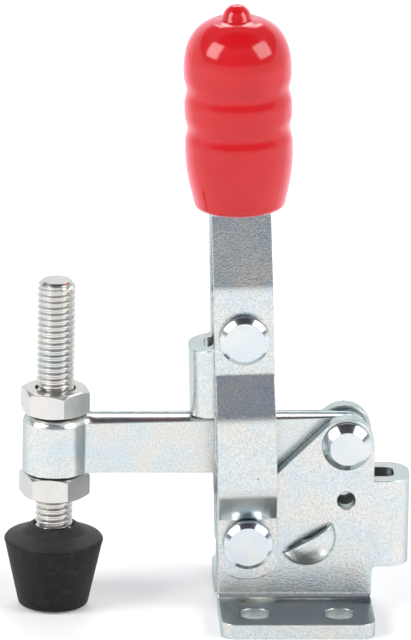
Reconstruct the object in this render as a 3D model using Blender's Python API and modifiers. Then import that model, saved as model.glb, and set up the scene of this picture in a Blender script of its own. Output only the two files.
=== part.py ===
"""Vertical-handle toggle clamp for a welding table.

A folded base, a folded holding arm, a channel link and a forked handle make a
four-bar linkage. The clamp is built locked, with its underside at Z = 0, its
arm pointing to -X and its two halves alike about Y = 0.
"""
import math

import bmesh
import bpy
from mathutils import Euler, Matrix, Vector

MM = 0.001

# Fits between neighbours
FIT = 0.3 * MM                       # gap between pieces that touch or turn on each other
HEAD_SWING = 0.15 * MM               # room between a rivet's head and the handle that passes it
SEGMENTS = 36                        # sides of a full circle
BEND_STEP = math.radians(15)         # arc step on sheet bends and outline corners

# Linkage, measured from the handle pivot
HANDLE_PIVOT_HEIGHT = 12.9 * MM      # above the underside
ARM_PIVOT_BACK = 15.8 * MM           # behind the handle pivot
ARM_PIVOT_HEIGHT = 28.6 * MM         # above the underside
LINK_PIVOT_DROP = 1.9 * MM           # arm pivot down to the lower link pivot when locked
LINK_LENGTH = 20.7 * MM              # lower to upper link pivot
HANDLE_LEAN = math.radians(2.0)      # the locked handle leans towards the arm

# Folded base
BASE_SHEET = 2.5 * MM
BASE_BEND = 1.2 * MM                 # inner radius of the flange bends
BASE_MARGIN = 4.5 * MM               # sheet round the pivots
WEB_BACK = 6.0 * MM                  # how far the rear web stands behind the side plates
WEB_BOTTOM = 8.1 * MM
WEB_TOP = 22.6 * MM
WEB_NOTCH = 0.8 * MM                 # rounding of the corner under the web
WEB_BEND = 1.2 * MM                  # inner radius of the rear bends
FLANGE_REACH = 17.0 * MM             # middle of the clamp to a flange's edge
FLANGE_CORNER = 2.4 * MM
BOLT_HOLE = 5.1 * MM
BOLT_SPACING = 13.6 * MM             # along the flange
BOLT_EDGE = 5.2 * MM                 # hole centre to the flange's edge
TOOLING_HOLE = 3.0 * MM
TOOLING_BACK = 15.9 * MM             # behind the handle pivot
TOOLING_HEIGHT = 19.3 * MM

# Pressed stop that ends the handle's swing
HANDLE_SWING = math.radians(60)
STOP_LENGTH = 9.4 * MM               # along the slit
STOP_START = 8.0 * MM                # handle pivot to the slit's near end, along the slit
STOP_DEPTH = 4.6 * MM                # away from the slit
STOP_RISE = 2.2 * MM                 # out of the plate
STOP_WALL = 1.0 * MM

# Folded holding arm
ARM_SHEET = 1.9 * MM
ARM_SLIT = 0.3 * MM                  # between the two leaves
ARM_ABOVE_PIVOT = 4.0 * MM           # rear pivot up to the arm's top edge
ARM_HEIGHT = 9.5 * MM
EYE_FILLET = 2.2 * MM                # where the eye runs into the leaves

# Channel link
LINK_SHEET = 2.5 * MM
LINK_BEND = 1.0 * MM                 # inner radius
LINK_MARGIN = 4.9 * MM               # sheet round both pivots
LINK_WEB_FRONT = 8.6 * MM            # pivot line to the web's outer face
LINK_WEB_BELOW = 3.0 * MM            # upper pivot down to the web's top
LINK_WEB_CLEAR = 0.8 * MM            # arm's top edge up to the web

# Forked handle, heights along the handle from its pivot
HANDLE_SHEET = 2.0 * MM
HANDLE_WIDTH = 9.5 * MM
HANDLE_END = 6.2 * MM                # pivot down to the strip's lower end
HANDLE_END_CORNER = 4.4 * MM
HANDLE_BEND = 3.0 * MM               # inner radius of the joggles
LOW_SEAT_TOP = 4.6 * MM
BOW_BOTTOM = 10.0 * MM
BOW_TOP_BELOW = 0.6 * MM             # bow's top below the arm rivet, as the handle swings past it
LINK_SEAT_BEYOND = 5.7 * MM          # link seat's start above the arm rivet, likewise
LINK_SEAT_ABOVE = 8.0 * MM
NECK_HEIGHT = 54.0 * MM
NECK_HALF_GAP = 1.85 * MM            # half the space between the strips in the grip
FORK_FLAT = 0.05 * MM                # straight half of the fold that joins the strips

# Grip
GRIP_START = 54.6 * MM
GRIP_LENGTH = 33.3 * MM
GRIP_RADIUS = 8.6 * MM
GRIP_MOUTH_RADIUS = 6.4 * MM
GRIP_MOUTH_EDGE = 0.9 * MM           # rounding at the mouth
GRIP_TIP_RADIUS = 2.3 * MM
GRIP_CROWN = 8.0 * MM                # grip's top down to the end of the handle
GRIP_FIT = 0.15 * MM
GRIP_GROOVE = 0.2 * MM               # depth of the finger grooves
GRIP_GROOVES = 2
GRIP_SWELL = 0.36                    # share of the length over which the mouth swells
GRIP_GROOVE_START = 0.3              # share of the length below the grooves
GRIP_GROOVE_PITCH = 0.19             # share of the length from groove to groove
GRIP_SHOULDER = 0.676                # share of the length below the dome
GRIP_DOME_POWER = 2.5                # 2 is an ellipse, and more is squarer

# Rivets
SHANK_RADIUS = 2.4 * MM
LOWER_LINK_SHANK_RADIUS = 2.0 * MM
HEAD_RADIUS = 4.0 * MM
HEAD_FLAT_RADIUS = 2.8 * MM
HEAD_HEIGHT = 1.8 * MM
ARM_HEAD_HEIGHT = 1.4 * MM           # lower, so the handle's bow clears it
LOWER_LINK_HEAD_RADIUS = 3.3 * MM
LOWER_LINK_HEAD_HEIGHT = 1.5 * MM
HEAD_LAND = 0.4 * MM                 # straight edge of a head below its cone

# Spindle, nuts and foot
SPINDLE_REACH = 31.0 * MM            # in front of the handle pivot
SPINDLE_RADIUS = 3.0 * MM
SPINDLE_TOP = 55.0 * MM
SPINDLE_TIP = 0.6 * MM               # chamfer at the top
BOLT_HEAD_HEIGHT = 4.0 * MM
BOLT_HEAD_FLATS = 10.0 * MM
NUT_FLATS = 10.0 * MM
NUT_HEIGHT = 4.0 * MM
NUT_LAND = 0.2 * MM                  # a flat's middle in to the chamfer
NUT_CHAMFER = math.radians(30)
UPPER_NUT_TURN = math.radians(12)
LOWER_NUT_TURN = math.radians(20)
FOOT_LIFT = 0.3 * MM                 # foot's underside above the table
FOOT_HEIGHT = 13.5 * MM
FOOT_RIM_HEIGHT = 11.3 * MM
FOOT_RIM_RADIUS = 8.05 * MM
FOOT_TIP_RADIUS = 5.6 * MM
FOOT_NECK_RADIUS = 3.7 * MM
FOOT_FLOOR = 4.6 * MM                # rubber under the bolt head
FOOT_EDGE = 0.5 * MM                 # rounding at the rim and at the tip
FOOT_DISH_STEPS = (0, 0.2, 0.45, 0.7, 0.9)
FOOT_DISH_POWER = 0.8                # below 1 the dish falls fastest at the neck

# Layers across the clamp, half thicknesses from the middle
ARM_FACE = ARM_SLIT / 2 + ARM_SHEET
PLATE_INNER = ARM_FACE + FIT
PLATE_OUTER = PLATE_INNER + BASE_SHEET
LINK_INNER = ARM_FACE + FIT
LINK_OUTER = LINK_INNER + LINK_SHEET
STRIP_INNER = max(PLATE_OUTER, LINK_OUTER) + FIT
STRIP_OUTER = STRIP_INNER + HANDLE_SHEET
LOWER_LINK_HEAD_TOP = LINK_OUTER + FIT + LOWER_LINK_HEAD_HEIGHT

# Places in the clamp's own frame, whose origin is the middle of its footprint
WEB_OUTER = ARM_PIVOT_BACK + BASE_MARGIN + WEB_BACK
ORIGIN = (WEB_OUTER - SPINDLE_REACH - FOOT_RIM_RADIUS) / 2
HANDLE_PIVOT = Vector((-ORIGIN, 0, HANDLE_PIVOT_HEIGHT))
ARM_PIVOT = Vector((ARM_PIVOT_BACK - ORIGIN, 0, ARM_PIVOT_HEIGHT))
LEAN_TURN = Euler((0, -HANDLE_LEAN, 0))
HANDLE_AXIS = LEAN_TURN.to_matrix() @ Vector((0, 0, 1))
CRANK_LENGTH = (ARM_PIVOT.z - LINK_PIVOT_DROP - HANDLE_PIVOT.z) / HANDLE_AXIS.z
LOWER_LINK_PIVOT = HANDLE_PIVOT + CRANK_LENGTH * HANDLE_AXIS
SPINDLE_X = HANDLE_PIVOT.x - SPINDLE_REACH
PLATE_FRONT = HANDLE_PIVOT.x - BASE_MARGIN
PLATE_REAR = ARM_PIVOT.x + BASE_MARGIN
ARM_TOP = ARM_PIVOT.z + ARM_ABOVE_PIVOT
ARM_BOTTOM = ARM_TOP - ARM_HEIGHT
FAR = 60 * MM                        # a cutter's reach past anything it cuts

# Bow of the handle: its upper slope is steep enough to pass over the arm rivet's head
ARM_RIVET_REACH = math.hypot(ARM_PIVOT.x - HANDLE_PIVOT.x, ARM_PIVOT.z - HANDLE_PIVOT.z)
BOW_TOP = ARM_RIVET_REACH - BOW_TOP_BELOW
LINK_SEAT_START = ARM_RIVET_REACH + LINK_SEAT_BEYOND
ARM_HEAD_TOP = PLATE_OUTER + FIT + ARM_HEAD_HEIGHT
SLOPE_LEFT = (LINK_SEAT_BEYOND - HEAD_FLAT_RADIUS) / (LINK_SEAT_BEYOND + BOW_TOP_BELOW)
BOW_OVER_ARM_RIVET = STRIP_INNER + (ARM_HEAD_TOP + HEAD_SWING - STRIP_INNER) / SLOPE_LEFT
BOW_INNER = max(BOW_OVER_ARM_RIVET, LOWER_LINK_HEAD_TOP + HEAD_SWING)


# Scene and materials

def clear_scene():
    """Remove every object, so the script gives the same result each time."""
    for old in list(bpy.data.objects):
        bpy.data.objects.remove(old, do_unlink=True)


def new_collection(name):
    group = bpy.data.collections.new(name)
    bpy.context.scene.collection.children.link(group)
    return group


def material(name, colour, roughness, metallic):
    made = bpy.data.materials.new(name)
    made.use_nodes = True
    shader = made.node_tree.nodes["Principled BSDF"]
    shader.inputs["Base Color"].default_value = (*colour, 1)
    shader.inputs["Roughness"].default_value = roughness
    shader.inputs["Metallic"].default_value = metallic
    made.diffuse_color = (*colour, 1)
    return made


# Outlines and paths

def arc(centre, radius, start, end):
    """Points of a circle's arc from start to end, both in radians."""
    count = max(2, math.ceil(abs(end - start) / BEND_STEP - 1e-6))
    angles = [start + (end - start) * i / count for i in range(count + 1)]
    return [(centre[0] + radius * math.cos(a), centre[1] + radius * math.sin(a)) for a in angles]


def rounded(corners, closed=True):
    """Turn corners (x, y, radius) into points, with an arc tangent at each corner."""
    points = []
    last = len(corners) - 1
    for i, (x, y, radius) in enumerate(corners):
        at_end = not closed and i in (0, last)
        if radius == 0 or at_end:
            points.append((x, y))
            continue
        here = Vector((x, y))
        back = (Vector(corners[i - 1][:2]) - here).normalized()
        ahead = (Vector(corners[(i + 1) % len(corners)][:2]) - here).normalized()
        half = back.angle(ahead) / 2
        centre = here + (back + ahead).normalized() * radius / math.sin(half)
        first = here + back * radius / math.tan(half) - centre
        turn = first.angle_signed(here + ahead * radius / math.tan(half) - centre)
        start = math.atan2(first.y, first.x)
        points += arc(centre, radius, start, start - turn)
    return distinct(points)


def distinct(points):
    """Leave out a point that repeats the one before it."""
    return [point for i, point in enumerate(points) if math.dist(point, points[i - 1]) > 0.001 * MM]


def crossing(first, first_way, second, second_way):
    """Where two straight lines in a plane meet."""
    across = second - first
    share = (across.x * second_way.y - across.y * second_way.x) / (
        first_way.x * second_way.y - first_way.y * second_way.x)
    return first + first_way * share


# Objects

def link_object(name, mesh, group, finish=None, parent=None):
    made = bpy.data.objects.new(name, mesh)
    group.objects.link(made)
    if finish:
        mesh.materials.append(finish)
    if parent:
        made.parent = parent
    return made


def mesh_from(build, name):
    """A mesh from a bmesh, with its normals facing out and smooth shading between flats."""
    bmesh.ops.recalc_face_normals(build, faces=build.faces)
    mesh = bpy.data.meshes.new(name)
    build.to_mesh(mesh)
    build.free()
    mesh.shade_smooth()
    mesh.set_sharp_from_angle(angle=math.radians(30))
    return mesh


def prism(name, outline, low, high, turn):
    """Extrude a flat outline from low to high, then turn it into place."""
    curve = bpy.data.curves.new(name, "CURVE")
    curve.dimensions = "2D"
    curve.fill_mode = "BOTH"
    curve.extrude = (high - low) / 2
    spline = curve.splines.new("POLY")
    spline.points.add(len(outline) - 1)
    for point, (x, y) in zip(spline.points, outline):
        point.co = (x, y, 0, 1)
    spline.use_cyclic_u = True
    holder = bpy.data.objects.new(name, curve)
    bpy.context.scene.collection.objects.link(holder)
    evaluated = holder.evaluated_get(bpy.context.evaluated_depsgraph_get())
    solid = bpy.data.meshes.new_from_object(evaluated)
    bpy.data.objects.remove(holder, do_unlink=True)
    build = bmesh.new()
    build.from_mesh(solid)
    bpy.data.meshes.remove(solid)
    bmesh.ops.remove_doubles(build, verts=build.verts, dist=0.001 * MM)
    place = turn @ Matrix.Translation((0, 0, (low + high) / 2))
    bmesh.ops.transform(build, matrix=place, verts=build.verts)
    return mesh_from(build, name)


# An outline drawn in x and z is turned upright, and its depth then runs towards -Y
UPRIGHT = Matrix.Rotation(math.pi / 2, 4, "X")
FLAT = Matrix.Identity(4)


def cylinder(name, radius, low, high, turn, sides=SEGMENTS):
    build = bmesh.new()
    bmesh.ops.create_cone(build, cap_ends=True, segments=sides, radius1=radius, radius2=radius,
                          depth=high - low)
    place = turn @ Matrix.Translation((0, 0, (low + high) / 2))
    bmesh.ops.transform(build, matrix=place, verts=build.verts)
    return mesh_from(build, name)


def ribbon(name, path, low, high, turn):
    """A thin strip that follows a flat path, as wide as low to high."""
    build = bmesh.new()
    rows = [[build.verts.new((x, y, z)) for x, y in path] for z in (low, high)]
    for i in range(len(path) - 1):
        build.faces.new((rows[0][i], rows[0][i + 1], rows[1][i + 1], rows[1][i]))
    bmesh.ops.transform(build, matrix=turn, verts=build.verts)
    mesh = bpy.data.meshes.new(name)
    build.to_mesh(mesh)
    build.free()
    return mesh


def thicken(piece, sheet, side):
    """Give a ribbon its sheet thickness on one side, or on both with side 0."""
    shell = piece.modifiers.new("Sheet", "SOLIDIFY")
    shell.thickness = sheet
    shell.offset = side
    shell.use_even_offset = True


def boolean(piece, other, operation="DIFFERENCE", solver="EXACT"):
    """Cut, join or trim a piece."""
    step = piece.modifiers.new(other.name, "BOOLEAN")
    step.operation = operation
    step.object = other
    step.solver = solver


def turned(name, profile, group, finish, parent=None):
    """A piece of revolution about Z: profile points (radius, z) run from top to bottom."""
    build = bmesh.new()
    rows = [build.verts.new((radius, 0, z)) for radius, z in profile]
    for upper, lower in zip(rows, rows[1:]):
        build.edges.new((upper, lower))
    mesh = bpy.data.meshes.new(name)
    build.to_mesh(mesh)
    build.free()
    piece = link_object(name, mesh, group, finish, parent)
    screw = piece.modifiers.new("Turn", "SCREW")
    screw.steps = SEGMENTS
    screw.render_steps = SEGMENTS
    screw.use_merge_vertices = True
    screw.merge_threshold = 0.01 * MM
    screw.use_smooth_shade = True
    return piece


class Shop:
    """The collections, finishes and joint axes that every piece shares."""

    def __init__(self):
        self.parts = new_collection("toggle_clamp")
        self.cutters = new_collection("cutters")
        self.axes = new_collection("joint_axes")
        self.zinc = material("zinc_plated_steel", (0.62, 0.65, 0.66), 0.28, 1.0)
        self.bolt_zinc = material("zinc_plated_bolt", (0.58, 0.58, 0.56), 0.34, 1.0)
        self.vinyl = material("red_dipped_vinyl", (0.72, 0.02, 0.025), 0.22, 0.0)
        self.rubber = material("black_neoprene", (0.012, 0.012, 0.013), 0.55, 0.0)
        self.base_axis = self.axis("base_frame", Vector((0, 0, 0)), 0, None)
        self.handle_axis = self.axis("handle_axis", HANDLE_PIVOT, -HANDLE_LEAN, None)
        up_handle = Vector((0, 0, CRANK_LENGTH + LINK_LENGTH))
        self.link_axis = self.axis("link_axis", up_handle, 0, self.handle_axis)
        self.arm_axis = self.axis("arm_axis", Vector((0, 0, -LINK_LENGTH)), HANDLE_LEAN, self.link_axis)
        spindle_place = Vector((SPINDLE_X - LOWER_LINK_PIVOT.x, 0, -LOWER_LINK_PIVOT.z))
        self.spindle_axis = self.axis("spindle_axis", spindle_place, 0, self.arm_axis)

    def axis(self, name, place, turn, parent):
        empty = bpy.data.objects.new(name, None)
        empty.empty_display_size = 5 * MM
        empty.location = place
        empty.rotation_euler = (0, turn, 0)
        empty.parent = parent
        self.axes.objects.link(empty)
        return empty

    def cutter(self, mesh, parent=None):
        made = link_object(mesh.name, mesh, self.cutters, parent=parent)
        made.hide_render = True
        made.display_type = "WIRE"
        return made


# Base: one sheet, folded to a channel with two bolt flanges

def base_outline():
    """Side plate outline in x and z: a band round both pivots, down to the table, with the web."""
    pivots = Vector((ARM_PIVOT.x - HANDLE_PIVOT.x, ARM_PIVOT.z - HANDLE_PIVOT.z)).normalized()
    upper = Vector((HANDLE_PIVOT.x, HANDLE_PIVOT.z)) + Vector((-pivots.y, pivots.x)) * BASE_MARGIN
    front = crossing(Vector((PLATE_FRONT, 0)), Vector((0, 1)), upper, pivots)
    rear = crossing(Vector((PLATE_REAR, 0)), Vector((0, 1)), upper, pivots)
    web = PLATE_REAR + WEB_BACK + FIT
    corners = [
        (PLATE_FRONT, -FIT, 0), (front.x, front.y, BASE_MARGIN), (rear.x, rear.y, BASE_MARGIN),
        (PLATE_REAR, WEB_TOP, 0), (web, WEB_TOP, 0), (web, WEB_BOTTOM, 0),
        (PLATE_REAR, WEB_BOTTOM, WEB_NOTCH), (PLATE_REAR, -FIT, 0)]
    return rounded(corners)


def base_plan():
    """Sheet path in x and y of the two side plates and the web that joins them."""
    inner = WEB_OUTER - ORIGIN - BASE_SHEET
    front = PLATE_FRONT - FIT
    corners = [(front, -PLATE_INNER, 0), (inner, -PLATE_INNER, WEB_BEND),
               (inner, PLATE_INNER, WEB_BEND), (front, PLATE_INNER, 0)]
    return rounded(corners, closed=False)


def flange_section(side):
    """Section in y and z of one flange and its bend, up to where the bend ends."""
    bend_top = BASE_SHEET + BASE_BEND
    outside = [(FLANGE_REACH, 0), (FLANGE_REACH, BASE_SHEET)]
    hollow = arc((PLATE_OUTER + BASE_BEND, bend_top), BASE_BEND, -math.pi / 2, -math.pi)
    round_back = arc((PLATE_OUTER + BASE_BEND, bend_top), BASE_BEND + BASE_SHEET, -math.pi, -math.pi / 2)
    return [(side * y, z) for y, z in outside + hollow + round_back]


def make_flange(shop, name, side):
    """A bolt flange with rounded outer corners and two holes."""
    along = Matrix.Rotation(math.pi / 2, 4, "Z") @ Matrix.Rotation(math.pi / 2, 4, "X")
    strip = shop.cutter(prism(name, flange_section(side), PLATE_FRONT, PLATE_REAR, along))
    edge = side * FLANGE_REACH
    plan = [(PLATE_FRONT, 0, 0), (PLATE_REAR, 0, 0), (PLATE_REAR, edge, FLANGE_CORNER),
            (PLATE_FRONT, edge, FLANGE_CORNER)]
    shape = shop.cutter(prism(name + "_plan", rounded(plan), -FIT, BASE_SHEET + BASE_BEND + FIT, FLAT))
    boolean(strip, shape, "INTERSECT")
    middle = (PLATE_FRONT + PLATE_REAR) / 2
    for number, step in enumerate((-BOLT_SPACING / 2, BOLT_SPACING / 2)):
        place = Matrix.Translation((middle + step, edge - side * BOLT_EDGE, 0))
        hole = cylinder(f"{name}_hole_{number}", BOLT_HOLE / 2, -BASE_SHEET, 2 * BASE_SHEET, place)
        boolean(strip, shop.cutter(hole))
    return strip


def half_dome(name, length, depth, rise, face):
    """A quarter of an ellipsoid: its flat mouth lies on the slit and it bulges out of the plate."""
    build = bmesh.new()
    bmesh.ops.create_uvsphere(build, u_segments=SEGMENTS, v_segments=SEGMENTS // 2, radius=1)
    bmesh.ops.scale(build, vec=(length / 2, depth, rise), verts=build.verts)
    cut = bmesh.ops.bisect_plane(build, geom=build.verts[:] + build.edges[:] + build.faces[:],
                                 plane_co=(0, 0, 0), plane_no=(0, 1, 0), clear_outer=True)
    rim = [item for item in cut["geom_cut"] if isinstance(item, bmesh.types.BMEdge)]
    bmesh.ops.contextual_create(build, geom=rim)
    bmesh.ops.transform(build, matrix=stop_frame(face), verts=build.verts)
    return mesh_from(build, name)


def stop_frame(face):
    """Frame at the middle of the slit: x along it, y away from the stop, z out of the plate."""
    angle = math.pi / 2 + HANDLE_LEAN - HANDLE_SWING
    way = Vector((math.cos(angle), 0, math.sin(angle)))
    up = Vector((-math.sin(angle), 0, math.cos(angle)))
    clear = HANDLE_WIDTH / 2 + FIT
    place = HANDLE_PIVOT + way * (STOP_START + STOP_LENGTH / 2 - HANDLE_END_CORNER) - up * clear
    place.y = face
    out = Vector((0, math.copysign(1, face), 0))
    frame = Matrix((way, up, out)).transposed().to_4x4()
    frame.translation = place
    return frame


def add_stop(shop, base, name, side):
    """Press one stop out of a side plate: a scoop that is open along its slit."""
    face = side * PLATE_OUTER
    dome = shop.cutter(half_dome(name, STOP_LENGTH, STOP_DEPTH, STOP_RISE, face))
    boolean(base, dome, "UNION", "MANIFOLD")
    length = STOP_LENGTH - 2 * STOP_WALL
    depth = STOP_DEPTH - STOP_WALL
    hollow = shop.cutter(half_dome(name + "_hollow", length, depth, STOP_RISE - STOP_WALL, face))
    boolean(base, hollow, solver="MANIFOLD")
    pocket = arc((0, 0), 1, -math.pi, 0)
    outline = [(x * length / 2, y * depth) for x, y in pocket]
    opening = prism(name + "_pocket", outline, -BASE_SHEET - FIT, FIT, stop_frame(face))
    boolean(base, shop.cutter(opening), solver="MANIFOLD")


def make_base(shop):
    top = ARM_PIVOT.z + BASE_MARGIN + FIT
    sheet = ribbon("base", base_plan(), BASE_SHEET + BASE_BEND, top, FLAT)
    base = link_object("base", sheet, shop.parts, shop.zinc, shop.base_axis)
    thicken(base, BASE_SHEET, 1)
    shape = shop.cutter(prism("base_shape", base_outline(), -FAR, FAR, UPRIGHT))
    boolean(base, shape, "INTERSECT")
    for name, side in (("near_flange", -1), ("far_flange", 1)):
        boolean(base, make_flange(shop, name, side), "UNION", "MANIFOLD")
    for name, side in (("near_stop", -1), ("far_stop", 1)):
        add_stop(shop, base, name, side)
    tooling = Vector((HANDLE_PIVOT.x + TOOLING_BACK, 0, TOOLING_HEIGHT))
    bores = (("handle_bore", HANDLE_PIVOT, SHANK_RADIUS + FIT),
             ("arm_bore", ARM_PIVOT, SHANK_RADIUS + FIT),
             ("tooling_bore", tooling, TOOLING_HOLE / 2))
    for name, place, radius in bores:
        bore = cylinder("base_" + name, radius, -FAR, FAR, Matrix.Translation(place) @ UPRIGHT)
        boolean(base, shop.cutter(bore), solver="MANIFOLD")
    return base


# Arm: one strip, wrapped round the spindle and closed on itself

def arm_path():
    """Middle line of the strip in x and y, measured from the lower link pivot."""
    line = (ARM_SLIT + ARM_SHEET) / 2
    eye = SPINDLE_RADIUS + FIT + ARM_SHEET / 2
    fillet = EYE_FILLET + ARM_SHEET / 2
    centre = SPINDLE_X - LOWER_LINK_PIVOT.x
    reach = math.sqrt((eye + fillet) ** 2 - (line + fillet) ** 2)
    lean = math.atan2(line + fillet, reach)
    rear = ARM_PIVOT.x + ARM_HEIGHT - LOWER_LINK_PIVOT.x
    flare = arc((centre + reach, line + fillet), fillet, -math.pi / 2, -math.pi + lean)
    wrap = arc((centre, 0), eye, lean, math.pi)
    near = [(rear, line)] + flare + wrap[1:]
    return near + [(x, -y) for x, y in reversed(near[:-1])]


def arm_outline():
    """Side outline in x and z, measured from the lower link pivot."""
    shift = LOWER_LINK_PIVOT
    front = SPINDLE_X - shift.x - ARM_HEIGHT
    rear = ARM_PIVOT.x - shift.x + ARM_ABOVE_PIVOT
    low = ARM_BOTTOM - shift.z
    high = ARM_TOP - shift.z
    return rounded([(front, low, 0), (front, high, 0), (rear, high, ARM_ABOVE_PIVOT),
                    (rear, low, ARM_ABOVE_PIVOT)])


def make_arm(shop):
    low = ARM_BOTTOM - LOWER_LINK_PIVOT.z - FIT
    strip = ribbon("arm", arm_path(), low, low + ARM_HEIGHT + 2 * FIT, FLAT)
    arm = link_object("arm", strip, shop.parts, shop.zinc, shop.arm_axis)
    thicken(arm, ARM_SHEET, 0)
    shape = shop.cutter(prism("arm_shape", arm_outline(), -FAR, FAR, UPRIGHT), shop.arm_axis)
    boolean(arm, shape, "INTERSECT")
    rear = ARM_PIVOT - LOWER_LINK_PIVOT
    bores = (("link_bore", Vector((0, 0, 0)), LOWER_LINK_SHANK_RADIUS), ("rear_bore", rear, SHANK_RADIUS))
    for name, place, radius in bores:
        bore = cylinder("arm_" + name, radius + FIT, -FAR, FAR, Matrix.Translation(place) @ UPRIGHT)
        boolean(arm, shop.cutter(bore, shop.arm_axis))
    return arm


# Link: a short channel whose cheeks straddle the arm

def link_outline():
    """Cheek outline in x and z, measured from the upper link pivot."""
    web_top = -LINK_WEB_BELOW
    web_bottom = ARM_TOP - LOWER_LINK_PIVOT.z + LINK_WEB_CLEAR - LINK_LENGTH
    edge = LINK_MARGIN
    foot = -LINK_LENGTH - edge
    front = -LINK_WEB_FRONT - FIT
    return rounded([
        (edge, foot, edge), (-edge, foot, edge), (-edge, web_bottom, 0),
        (front, web_bottom, 0), (front, web_top, 0), (-edge, edge, edge / 2), (edge, edge, edge)])


def make_link(shop):
    inner = -LINK_WEB_FRONT + LINK_SHEET
    rear = LINK_MARGIN + FIT
    path = rounded([(rear, -LINK_INNER, 0), (inner, -LINK_INNER, LINK_BEND),
                    (inner, LINK_INNER, LINK_BEND), (rear, LINK_INNER, 0)], closed=False)
    low = -LINK_LENGTH - LINK_MARGIN - FIT
    sheet = ribbon("link", path, low, LINK_MARGIN + FIT, FLAT)
    link = link_object("link", sheet, shop.parts, shop.zinc, shop.link_axis)
    thicken(link, LINK_SHEET, -1)
    shape = shop.cutter(prism("link_shape", link_outline(), -FAR, FAR, UPRIGHT), shop.link_axis)
    boolean(link, shape, "INTERSECT")
    bores = (("upper_bore", 0, SHANK_RADIUS), ("lower_bore", -LINK_LENGTH, LOWER_LINK_SHANK_RADIUS))
    for name, height, radius in bores:
        turn = Matrix.Translation((0, 0, height)) @ UPRIGHT
        bore = cylinder("link_" + name, radius + FIT, -FAR, FAR, turn)
        boolean(link, shop.cutter(bore, shop.link_axis))
    return link


# Handle: one strip, folded to a fork that bows out round the lower link rivet

def handle_path():
    """Inner face of the fork in y and z, measured from the handle pivot."""
    link_seat = CRANK_LENGTH + LINK_LENGTH
    top = GRIP_START + GRIP_LENGTH - GRIP_CROWN
    side = [
        (STRIP_INNER, -HANDLE_END - FIT, 0), (STRIP_INNER, LOW_SEAT_TOP, HANDLE_BEND),
        (BOW_INNER, BOW_BOTTOM, HANDLE_BEND), (BOW_INNER, BOW_TOP, HANDLE_BEND),
        (STRIP_INNER, LINK_SEAT_START, HANDLE_BEND),
        (STRIP_INNER, link_seat + LINK_SEAT_ABOVE, HANDLE_BEND),
        (NECK_HALF_GAP, NECK_HEIGHT, HANDLE_BEND),
        (NECK_HALF_GAP, top - HANDLE_SHEET, NECK_HALF_GAP - FORK_FLAT)]
    return rounded(side + [(-y, z, radius) for y, z, radius in reversed(side)], closed=False)


def make_handle(shop):
    along = Matrix.Rotation(math.pi / 2, 4, "Z") @ Matrix.Rotation(math.pi / 2, 4, "X")
    half = HANDLE_WIDTH / 2
    strip = ribbon("handle", handle_path(), -half, half, along)
    handle = link_object("handle", strip, shop.parts, shop.zinc, shop.handle_axis)
    thicken(handle, HANDLE_SHEET, 1)
    top = GRIP_START + GRIP_LENGTH
    wide = half + FIT
    outline = rounded([(-wide, top, 0), (wide, top, 0), (wide, -HANDLE_END, HANDLE_END_CORNER),
                       (-wide, -HANDLE_END, HANDLE_END_CORNER)])
    shape = shop.cutter(prism("handle_shape", outline, -FAR, FAR, UPRIGHT), shop.handle_axis)
    boolean(handle, shape, "INTERSECT")
    for name, height in (("pivot_bore", 0), ("link_bore", CRANK_LENGTH + LINK_LENGTH)):
        turn = Matrix.Translation((0, 0, height)) @ UPRIGHT
        bore = cylinder("handle_" + name, SHANK_RADIUS + FIT, -FAR, FAR, turn)
        boolean(handle, shop.cutter(bore, shop.handle_axis))
    return handle


def grip_radius(share):
    """Outer radius of the grip at a share of its length, from its mouth to the top of its dome."""
    swell = math.sin(min(share / GRIP_SWELL, 1) * math.pi / 2)
    radius = GRIP_MOUTH_RADIUS + (GRIP_RADIUS - GRIP_MOUTH_RADIUS) * swell
    along = (share - GRIP_GROOVE_START) / GRIP_GROOVE_PITCH
    if 0 < along < GRIP_GROOVES:
        radius -= GRIP_GROOVE * (1 - math.cos(2 * math.pi * along)) / 2
    dome_top = 1 - (GRIP_TIP_RADIUS - FIT) / GRIP_LENGTH
    up = max(0, (share - GRIP_SHOULDER) / (dome_top - GRIP_SHOULDER))
    return radius * max(0, 1 - up ** GRIP_DOME_POWER) ** (1 / GRIP_DOME_POWER)


def grip_profile():
    """Outline of the grip from its tip, a drip that dipping leaves, down to its rounded mouth."""
    top = GRIP_START + GRIP_LENGTH
    tip = [(GRIP_TIP_RADIUS * math.sin(a), top - GRIP_TIP_RADIUS * (1 - math.cos(a)))
           for a in (math.pi / 2 * i / 5 for i in range(6))]
    steps = 30
    high = 1 - (GRIP_TIP_RADIUS + FIT) / GRIP_LENGTH
    low = GRIP_MOUTH_EDGE / GRIP_LENGTH
    shares = [low + (high - low) * math.sin(math.pi / 2 * (1 - i / steps)) for i in range(steps + 1)]
    wall = [(grip_radius(share), GRIP_START + GRIP_LENGTH * share) for share in shares]
    edge = arc((wall[-1][0] - GRIP_MOUTH_EDGE, wall[-1][1]), GRIP_MOUTH_EDGE, 0, -math.pi / 2)
    return tip + wall + edge[1:] + [(0, GRIP_START)]


def make_grip(shop):
    grip = turned("grip", grip_profile(), shop.parts, shop.vinyl, shop.handle_axis)
    wide = HANDLE_WIDTH / 2 + GRIP_FIT
    deep = NECK_HALF_GAP + HANDLE_SHEET + GRIP_FIT
    high = GRIP_START + GRIP_LENGTH - GRIP_CROWN + FIT
    hollow = [(-wide, -deep), (wide, -deep), (wide, deep), (-wide, deep)]
    cavity = prism("grip_hollow", hollow, GRIP_START - FIT, high, FLAT)
    boolean(grip, shop.cutter(cavity, shop.handle_axis))
    return grip


# Rivets

def head_profile(seat, radius, flat, height):
    """A head's edge from its flat down to its seat, as (radius, height above the middle)."""
    return [(flat, seat + height), (radius, seat + HEAD_LAND), (radius, seat)]


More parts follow.
